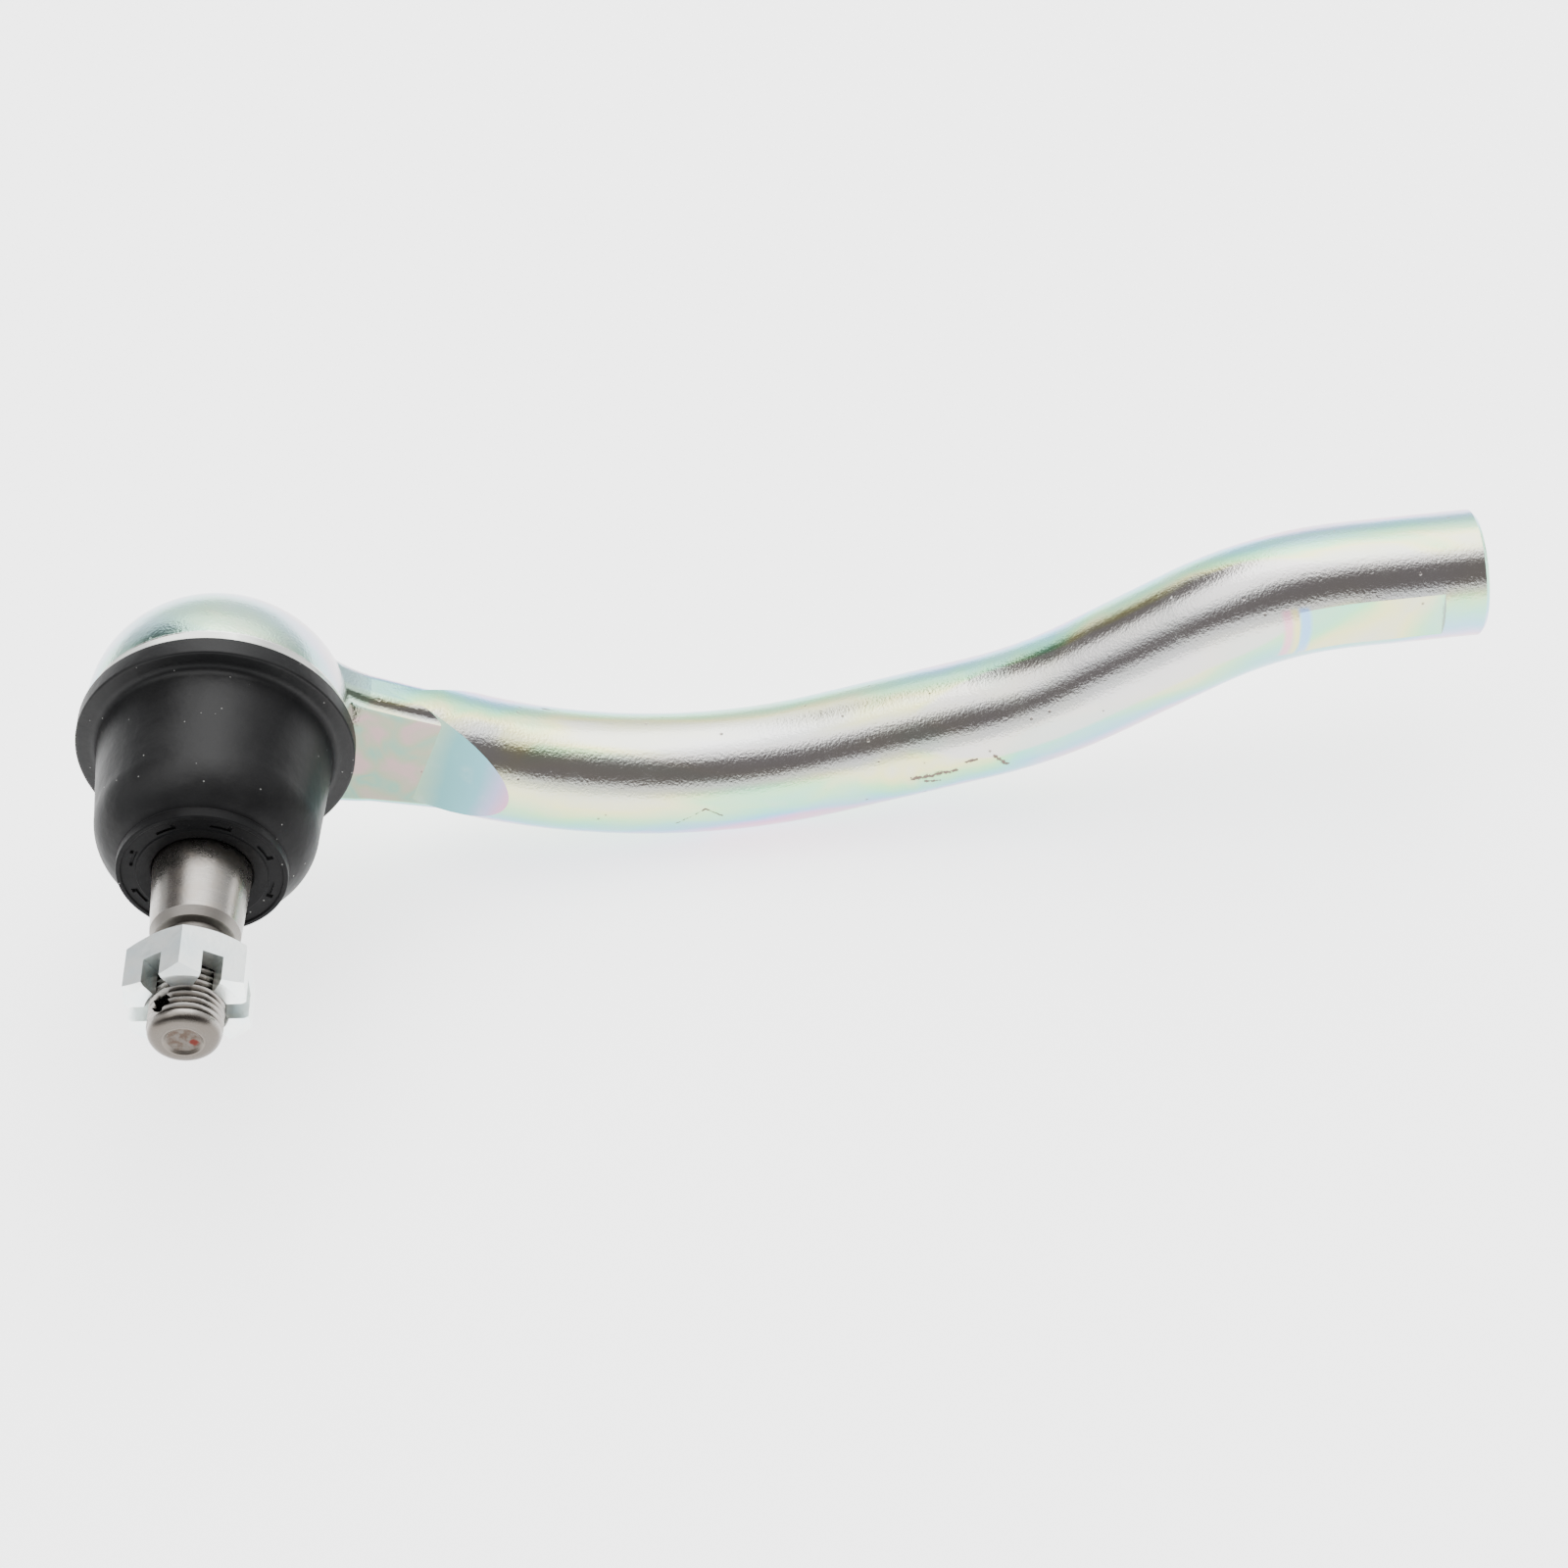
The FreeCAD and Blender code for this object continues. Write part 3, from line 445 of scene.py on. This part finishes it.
def nut_zinc():
    """Bright zinc over a cold-formed nut: pale and slightly blue, with painted shade inside the slots.
    """
    material, graph, shader, place = new_material("nut_zinc", metallic=1.0)
    position = millimetres(graph, place)
    cloud = graph.noise(position, 0.16, 3.0, 0.5)
    pale = graph.ramp(cloud, NUT_ZINC)
    # painted shade: darker close to the stud's axis, inside the slots
    inside = graph.between(stud_radius(graph, position), 7.6, 6.4)
    pale = graph.over(pale, inside, 0.4, NUT_INSIDE_SHADE)
    fine = graph.noise(position, 2.2, 3.0, 0.6)
    spots = graph.spots(position, 0.42, 0.07)
    pale = graph.over(pale, spots, 0.45, SPECK_GREY)
    graph.feed(shader.inputs["Base Color"], pale)
    graph.feed(shader.inputs["Roughness"], graph.scaled(fine, 0.14, 0.24))
    height = graph.bump(graph.noise(position, 0.55, 3.0, 0.5), 0.05 * MM)
    height = graph.bump(fine, 0.010 * MM, height)
    graph.feed(shader.inputs["Normal"], height)
    return material


def plain_steel(name, dark, light, roughness, line_scale):
    """Pressed or turned steel with fine lines around the stud's axis."""
    material, graph, shader, place = new_material(name, metallic=1.0)
    position = millimetres(graph, place)
    radius = stud_radius(graph, position)
    y = graph.split(position)[1]
    lines = graph.noise(graph.join(graph.times(radius, line_scale), y, 0.0), 1.0, 3.0)
    cloud = graph.noise(position, 0.2, 4.0, 0.6)
    half_each = graph.plus(graph.times(lines, 0.5), graph.times(cloud, 0.5))
    graph.feed(shader.inputs["Base Color"], graph.mix(half_each, dark, light))
    graph.feed(shader.inputs["Roughness"], graph.scaled(cloud, 0.18, roughness))
    height = graph.bump(lines, 0.012 * MM)
    height = graph.bump(graph.noise(position, 1.4, 3.0), 0.015 * MM, height)
    graph.feed(shader.inputs["Normal"], height)
    return material


SEAT_DARK = (0.68, 0.66, 0.58)
SEAT_LIGHT = (0.80, 0.79, 0.72)
RUBBER_BLACK = [
    (0.30, (0.0045, 0.0045, 0.0048)),
    (0.75, (0.010, 0.010, 0.0103)),
]
LIP_EDGE_Y = (-39.5, -41.0)


def seat_polymer():
    """Off-white bearing polymer, faintly mottled."""
    material, graph, shader, place = new_material("seat_polymer", roughness=0.42)
    position = millimetres(graph, place)
    mottle = graph.noise(position, 0.5, 4.0)
    graph.feed(shader.inputs["Base Color"], graph.mix(mottle, SEAT_DARK, SEAT_LIGHT))
    graph.feed(shader.inputs["Normal"], graph.bump(graph.noise(position, 3.0, 2.0), 0.01 * MM))
    return material


def boot_rubber():
    """Moulded black rubber: soft sheen, faint bloom, moulding grain and specks of dust."""
    material, graph, shader, place = new_material("boot_rubber", metallic=0.0)
    position = millimetres(graph, place)
    bloom = graph.noise(position, 0.12, 4.0, 0.55, 0.4)
    black = graph.ramp(bloom, RUBBER_BLACK)
    dust = graph.spots(position, 0.42, 0.075)
    here = graph.between(graph.noise(position, 0.15, 2.0), 0.44, 0.54)
    dust = graph.times(dust, here)
    graph.feed(shader.inputs["Base Color"], graph.over(black, dust, 0.6, SPECK_GREY))
    rough = graph.scaled(bloom, 0.16, 0.34)
    graph.feed(shader.inputs["Roughness"], graph.mix_value(dust, rough, 0.8))
    sideways = graph.math("ABSOLUTE", graph.split(place.outputs["Normal"])[0])
    sheen = graph.mix_value(graph.between(sideways, 0.25, 0.75), 0.20, 0.075)
    lip = graph.between(graph.split(position)[1], *LIP_EDGE_Y)
    graph.feed(shader.inputs["Specular IOR Level"], graph.mix_value(lip, sheen, 0.06))
    height = graph.bump(graph.noise(position, 4.0, 2.0), 0.008 * MM)
    height = graph.bump(graph.noise(position, 0.22, 3.0, 0.5), 0.16 * MM, height)
    height = graph.bump(dust, 0.05 * MM, height)
    graph.feed(shader.inputs["Normal"], height)
    return material


def dress(node, material):
    """Gives a CAD node its material through its object's slots, and leaves its mesh alone."""
    piece = NODES[node]
    for material_slot in piece.material_slots:
        material_slot.link = "OBJECT"
        material_slot.material = material


# ---------------------------------------------------------------- lathed rubber
LATHE_SEGMENTS = 256
SHARP_ANGLE = math.radians(42)


def arc(start, end, radius, steps=14):
    """Points on an arc that bulges to the left of travel, or to the right if radius is negative."""
    start, end = Vector(start), Vector(end)
    chord = end - start
    left = Vector((-chord.y, chord.x)).normalized()
    depth = math.sqrt(radius * radius - chord.length_squared / 4)
    centre = (start + end) / 2 - left * depth * math.copysign(1.0, radius)
    first = start - centre
    turn = first.angle_signed(end - centre)
    return [tuple(centre + Matrix.Rotation(-turn * k / steps, 2) @ first) for k in range(steps + 1)]


def softened(corners, steps=5):
    """A profile of (radius from the axis, y, rounding), where a rounding of 0 leaves a corner sharp."""
    points = []
    count = len(corners)
    for index, (r, y, rounding) in enumerate(corners):
        here = Vector((r, y))
        if rounding == 0 or index in (0, count - 1):
            points.append((r, y))
            continue
        before = Vector(corners[index - 1][:2]) - here
        after = Vector(corners[index + 1][:2]) - here
        half = before.angle(after) / 2
        reach = min(rounding / math.tan(half), before.length * 0.49, after.length * 0.49)
        start = here + before.normalized() * reach
        end = here + after.normalized() * reach
        for k in range(steps + 1):
            t = k / steps
            points.append(tuple(start * (1 - t) ** 2 + here * 2 * t * (1 - t) + end * t ** 2))
    return points


def lathe(name, profile, shape=None):
    """Turns a closed profile of (radius, y) millimetres about the stud's axis; shape may move points."""
    mesh = bmesh.new()
    rings = []
    for r, y in profile:
        ring = []
        for k in range(LATHE_SEGMENTS):
            angle = 2 * math.pi * k / LATHE_SEGMENTS
            r_here, y_here = shape(r, y, angle) if shape else (r, y)
            corner = Vector((math.sin(angle) * r_here, y_here, math.cos(angle) * r_here))
            ring.append(mesh.verts.new(corner * MM))
        rings.append(ring)
    for ring, following in zip(rings, rings[1:] + rings[:1]):
        for k in range(LATHE_SEGMENTS):
            j = (k + 1) % LATHE_SEGMENTS
            mesh.faces.new((ring[k], ring[j], following[j], following[k]))
    bmesh.ops.recalc_face_normals(mesh, faces=mesh.faces)
    data = bpy.data.meshes.new(name)
    mesh.to_mesh(data)
    mesh.free()
    piece = bpy.data.objects.new(name, data)
    bpy.context.scene.collection.objects.link(piece)
    data.shade_smooth()
    data.set_sharp_from_angle(angle=SHARP_ANGLE)
    return piece


# ---------------------------------------------------------------- the boot, in two halves
BOOT_LOW, BOOT_HIGH = (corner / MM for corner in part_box("dust_boot"))
FLANGE_RADIUS = BOOT_HIGH.x
FLANGE_BACK = BOOT_HIGH.y
LIP_FACE = BOOT_LOW.y
FLANGE_FRONT = FLANGE_BACK - 3.65
SPIGOT_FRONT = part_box("housing")[0].y / MM
SPIGOT_RADIUS = 19.0
RING_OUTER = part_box("boot_base_ring")[1].x / MM
RING_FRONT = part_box("boot_base_ring")[0].y / MM
STUD_TAPER_END = (7.36, -55.7)
STUD_TAPER_RUN = 16.0
CUP_TOP = (20.0, FLANGE_FRONT - 1.5)
CUP_WAIST = (18.7, LIP_FACE + 11.1)
CUP_WALL_Y = -17.0
SEAM_Y = -22.5
WALL = 2.0
RING_GAP = 0.1
SHOULDER_RADIUS = 10.9
LIP_RADIUS = 14.1
LIP_BACK = LIP_FACE + 2.4
LIP_INNER = LIP_FACE + 4.6
LIP_DISH = LIP_FACE + 0.35
NOTCHES = 8
NOTCH_TURN = math.radians(-18.0)
NOTCH_RADIUS = 11.6
NOTCH_HALF_WIDTH = 0.24
NOTCH_HALF_LENGTH = 1.7
NOTCH_HOOK = 0.3
NOTCH_HOOK_HALF_LENGTH = 0.3
NOTCH_DEPTH = 0.4
NOTCHED_FACE_Y = LIP_FACE + 0.8


def stud_taper_radius(y):
    """The stud's ground taper, 1 in 8 on the diameter."""
    return STUD_TAPER_END[0] + (y - STUD_TAPER_END[1]) / STUD_TAPER_RUN


def cup_radius(y):
    """The straight part of the cup between the flange and the shoulder."""
    share = (y - CUP_TOP[1]) / (CUP_WAIST[1] - CUP_TOP[1])
    return CUP_TOP[0] + share * (CUP_WAIST[0] - CUP_TOP[0])


def stretch(start, end, steps):
    """Rings in between two corners, so that the wall bends smoothly there."""
    return [tuple(Vector(start).lerp(Vector(end), k / steps)) for k in range(1, steps)]


def boot_base():
    """The flange on the eye's spigot and the cup as far as the seam."""
    outer_seam = (cup_radius(SEAM_Y), SEAM_Y)
    inner_seam = (cup_radius(SEAM_Y) - WALL, SEAM_Y)
    wall_start = (cup_radius(CUP_WALL_Y), CUP_WALL_Y)
    room = RING_OUTER + RING_GAP
    roof_y = SPIGOT_FRONT - 0.3
    roof = (CUP_TOP[0] - WALL - 0.6, roof_y)
    outside = softened([
        (FLANGE_RADIUS - 0.25, FLANGE_BACK, 0),
        (FLANGE_RADIUS, FLANGE_BACK - 0.15, 0.15),
        (FLANGE_RADIUS, FLANGE_FRONT, 0.55),
        (CUP_TOP[0] + 0.12, FLANGE_FRONT - 0.1, 1.9),
        (*wall_start, 0),
    ])
    outside += stretch(wall_start, outer_seam, 6) + [outer_seam]
    inside = [inner_seam] + stretch(inner_seam, roof, 6)
    inside += [roof, (SPIGOT_RADIUS + 0.4, roof_y)]
    inside += [(room, RING_FRONT - RING_GAP), (room, FLANGE_BACK)]
    return lathe("boot_base", outside + inside)


def notched(r, y, angle):
    """Sinks the lip's face inside its ring of moulded notches."""
    on_face = y < NOTCHED_FACE_Y
    in_slit = abs(r - NOTCH_RADIUS) < NOTCH_HALF_WIDTH
    in_hook = abs(r - NOTCH_RADIUS - NOTCH_HOOK) < NOTCH_HALF_WIDTH + NOTCH_HOOK
    pitch = 2 * math.pi / NOTCHES
    offset = ((angle - NOTCH_TURN + pitch / 2) % pitch - pitch / 2) * NOTCH_RADIUS
    slit = in_slit and abs(offset) < NOTCH_HALF_LENGTH
    hook = in_hook and abs(offset - NOTCH_HALF_LENGTH + NOTCH_HOOK_HALF_LENGTH) < NOTCH_HOOK_HALF_LENGTH
    if on_face and (slit or hook):
        return r, y + NOTCH_DEPTH
    return r, y


def boot_neck():
    """The cup from the seam to its shoulder, and the notched lip on the stud's taper."""
    outer_seam = (cup_radius(SEAM_Y), SEAM_Y)
    inner_seam = (cup_radius(SEAM_Y) - WALL, SEAM_Y)
    inner_waist = (CUP_WAIST[0] - WALL, CUP_WAIST[1])
    lip_corner = (LIP_RADIUS - 1.7, LIP_INNER)
    back = (stud_taper_radius(LIP_INNER) + 0.15, LIP_INNER)
    ring_in = NOTCH_RADIUS - NOTCH_HALF_WIDTH
    ring_out = NOTCH_RADIUS + NOTCH_HALF_WIDTH
    bore = stud_taper_radius(LIP_FACE) + 0.1
    lip = softened([
        (LIP_RADIUS, LIP_BACK, 0),
        (LIP_RADIUS - 0.22, LIP_BACK - 0.25, 0.12),
        (LIP_RADIUS + 0.02, LIP_BACK - 0.55, 0.15),
        (LIP_RADIUS, LIP_FACE + 0.05, 0.3),
        (LIP_RADIUS - 0.75, LIP_FACE, 0.2),
        (LIP_RADIUS - 0.92, LIP_DISH, 0.05),
        (ring_out + 2 * NOTCH_HOOK + 0.03, LIP_DISH, 0),
        (ring_out + 2 * NOTCH_HOOK - 0.01, LIP_DISH, 0),
        (ring_out + 0.03, LIP_DISH, 0),
        (ring_out - 0.01, LIP_DISH, 0),
        (ring_in + 0.01, LIP_DISH, 0),
        (ring_in - 0.03, LIP_DISH, 0),
        (ring_in - 0.45, LIP_DISH, 0.12),
        (ring_in - 0.62, LIP_FACE + 0.02, 0.12),
        (ring_in - 1.0, LIP_FACE + 0.12, 0.2),
        (bore + 0.25, LIP_FACE + 0.55, 0.2),
        (bore + 0.04, LIP_FACE + 0.75, 0),
    ])
    profile = [outer_seam] + stretch(outer_seam, CUP_WAIST, 9)
    profile += arc(CUP_WAIST, (LIP_RADIUS, LIP_BACK), SHOULDER_RADIUS, 24)
    profile += lip[1:] + [back]
    profile += arc(lip_corner, inner_waist, WALL - SHOULDER_RADIUS)
    profile += stretch(inner_waist, inner_seam, 9) + [inner_seam]
    return lathe("boot_neck", profile, notched)


def build_boot():
    """Lathes the base half and the neck half, gives both the rubber and hides the CAD boot."""
    rubber = boot_rubber()
    base = boot_base()
    neck = boot_neck()
    for piece in (base, neck):
        piece.data.materials.append(rubber)
    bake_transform(base)
    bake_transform(neck)
    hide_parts("dust_boot")


# ---------------------------------------------------------------- dress the CAD nodes
# name, dark, light, roughness and how close its lines are
PLATE_STEEL = ("plate_steel", (0.50, 0.52, 0.50), (0.76, 0.78, 0.74), 0.24, 3.0)
SPRING_STEEL = ("spring_steel", (0.16, 0.17, 0.20), (0.30, 0.31, 0.34), 0.30, 4.0)
RING_STEEL = ("ring_steel", (0.30, 0.30, 0.31), (0.52, 0.52, 0.52), 0.32, 4.0)


def dress_cad():
    """Every CAD node's material; the boot's pieces get theirs in build_boot."""
    dress("housing", zinc_forging())
    dress("ball_stud", turned_steel())
    dress("castle_nut", nut_zinc())
    dress("closing_plate", plain_steel(*PLATE_STEEL))
    dress("preload_spring", plain_steel(*SPRING_STEEL))
    rings = plain_steel(*RING_STEEL)
    dress("boot_base_ring", rings)
    dress("boot_neck_ring", rings)
    seats = seat_polymer()
    dress("ball_seat", seats)
    dress("upper_seat", seats)


# ---------------------------------------------------------------- floor, light and camera
CAMERA_PLACE = Vector((0.103906, -0.368111, 0.337308))
CAMERA_FORWARD = Vector((-0.01415, 0.70268, -0.71136))
CAMERA_UP = Vector((0.10002, 0.70886, 0.69822))
CAMERA_LENS = 65.28
CAMERA_SENSOR = 36.0
FLOOR_HALF_WIDTH = 1.6
FLOOR_GLOW = 2.1
PAPER_DARK = (0.93, 0.93, 0.93)
PAPER_LIGHT = (0.95, 0.95, 0.95)
STUDIO_STRENGTH = 3.6
OVERHEAD_WHITE = (1.0, 1.0, 1.0)
LOW_WHITE = (0.55, 0.57, 0.58)
SIDE_GREY = (0.16, 0.165, 0.17)
GAP_DARK = (0.070, 0.065, 0.066)
# elevations are measured from the front horizon, over the top and down to the back
DIM_FROM = math.radians(22)
DIM_FROM_SOFT = math.radians(5)
DIM_TO = math.radians(69)
DIM_TO_OUTER = math.radians(13)
DIM_TO_INNER = math.radians(9)
DIM_SHIFTS = (math.radians(9), math.radians(-7))
DIM_LEFT_DROP = math.radians(15)
OVERHEAD_TO = math.radians(150)
OVERHEAD_SOFT = math.radians(6)
# a dark stand up behind the left, which the eye and the bar mirror
STAND_DIRECTION = (-0.595, 0.519, 0.614)
STAND_OUTER = math.cos(math.radians(24))
STAND_INNER = math.cos(math.radians(16))
SOFTBOX_PLACE = (0.25, 0.40, 1.10)
SOFTBOX_TARGET = (0.09, -0.02, -0.01)
SOFTBOX_SIZE = 0.9
SOFTBOX_POWER = 6.0


def build_floor():
    """A plain pale floor that the lowest point of the arm rests on."""
    low, high = cad_box
    middle = (Vector(low) + Vector(high)) / 2
    mesh = bmesh.new()
    bmesh.ops.create_grid(mesh, x_segments=8, y_segments=8, size=FLOOR_HALF_WIDTH)
    data = bpy.data.meshes.new("floor")
    mesh.to_mesh(data)
    mesh.free()
    floor = bpy.data.objects.new("floor", data)
    floor.location = (middle.x, middle.y, low[2])
    bpy.context.scene.collection.objects.link(floor)
    material, graph, shader, place = new_material("floor_paper", roughness=0.9)
    position = millimetres(graph, place)
    paper = graph.noise(position, 0.02, 3.0)
    graph.feed(shader.inputs["Base Color"], graph.mix(paper, PAPER_DARK, PAPER_LIGHT))
    shader.inputs["Emission Color"].default_value = (1.0, 1.0, 1.0, 1.0)
    shader.inputs["Emission Strength"].default_value = FLOOR_GLOW
    data.materials.append(material)


def build_world():
    """A pale studio all round, with a dim gap in front between the low and the overhead light."""
    world = bpy.data.worlds.new("studio")
    bpy.context.scene.world = world
    world.use_nodes = True
    graph = Graph(world.node_tree)
    background = world.node_tree.nodes["Background"]
    direction = graph.node("ShaderNodeTexCoord", {}).outputs["Generated"]
    x, y, z = graph.split(direction)[:3]
    elevation = graph.math("ARCTAN2", z, graph.times(y, -1.0))
    overhead = graph.band(elevation, DIM_TO, OVERHEAD_TO, OVERHEAD_SOFT)
    colour = graph.mix(overhead, LOW_WHITE, OVERHEAD_WHITE)
    sideways = graph.between(graph.math("ABSOLUTE", x), 0.45, 0.75)
    colour = graph.over(colour, sideways, 0.6, SIDE_GREY)
    aside = graph.between(x, 0.10, 0.40)
    leftward = graph.between(x, -0.18, -0.42)
    gap = 0.0
    for shift in DIM_SHIFTS:
        shifted = graph.plus(elevation, graph.times(aside, shift))
        below = graph.between(shifted, DIM_FROM - DIM_FROM_SOFT, DIM_FROM + DIM_FROM_SOFT)
        top = graph.plus(shifted, graph.times(leftward, DIM_LEFT_DROP))
        above = graph.between(top, DIM_TO + DIM_TO_OUTER, DIM_TO - DIM_TO_INNER)
        gap = graph.larger(gap, graph.times(below, above))
    stand = graph.between(graph.dot(direction, STAND_DIRECTION), STAND_OUTER, STAND_INNER)
    colour = graph.mix(graph.larger(gap, stand), colour, GAP_DARK)
    graph.feed(background.inputs["Color"], colour)
    background.inputs["Strength"].default_value = STUDIO_STRENGTH


def build_softbox():
    """A square softbox overhead that faces the object."""
    light = bpy.data.lights.new("overhead", "AREA")
    light.shape = "SQUARE"
    light.size = SOFTBOX_SIZE
    light.energy = SOFTBOX_POWER
    lamp = bpy.data.objects.new("overhead", light)
    beam = Vector(SOFTBOX_TARGET) - Vector(SOFTBOX_PLACE)
    lamp.location = SOFTBOX_PLACE
    lamp.rotation_euler = beam.to_track_quat("-Z", "Y").to_euler()
    bpy.context.scene.collection.objects.link(lamp)


def build_camera():
    """Looks down on the part from in front."""
    camera = bpy.data.cameras.new("camera")
    camera.lens = CAMERA_LENS
    camera.sensor_width = CAMERA_SENSOR
    camera.clip_start = 0.01
    right = CAMERA_FORWARD.cross(CAMERA_UP).normalized()
    up = right.cross(CAMERA_FORWARD).normalized()
    turn = Matrix((right, up, -CAMERA_FORWARD.normalized())).transposed()
    holder = bpy.data.objects.new("camera", camera)
    holder.matrix_world = Matrix.Translation(CAMERA_PLACE) @ turn.to_4x4()
    bpy.context.scene.collection.objects.link(holder)
    bpy.context.scene.camera = holder


dress_cad()
build_boot()
build_floor()
build_world()
build_softbox()
build_camera()
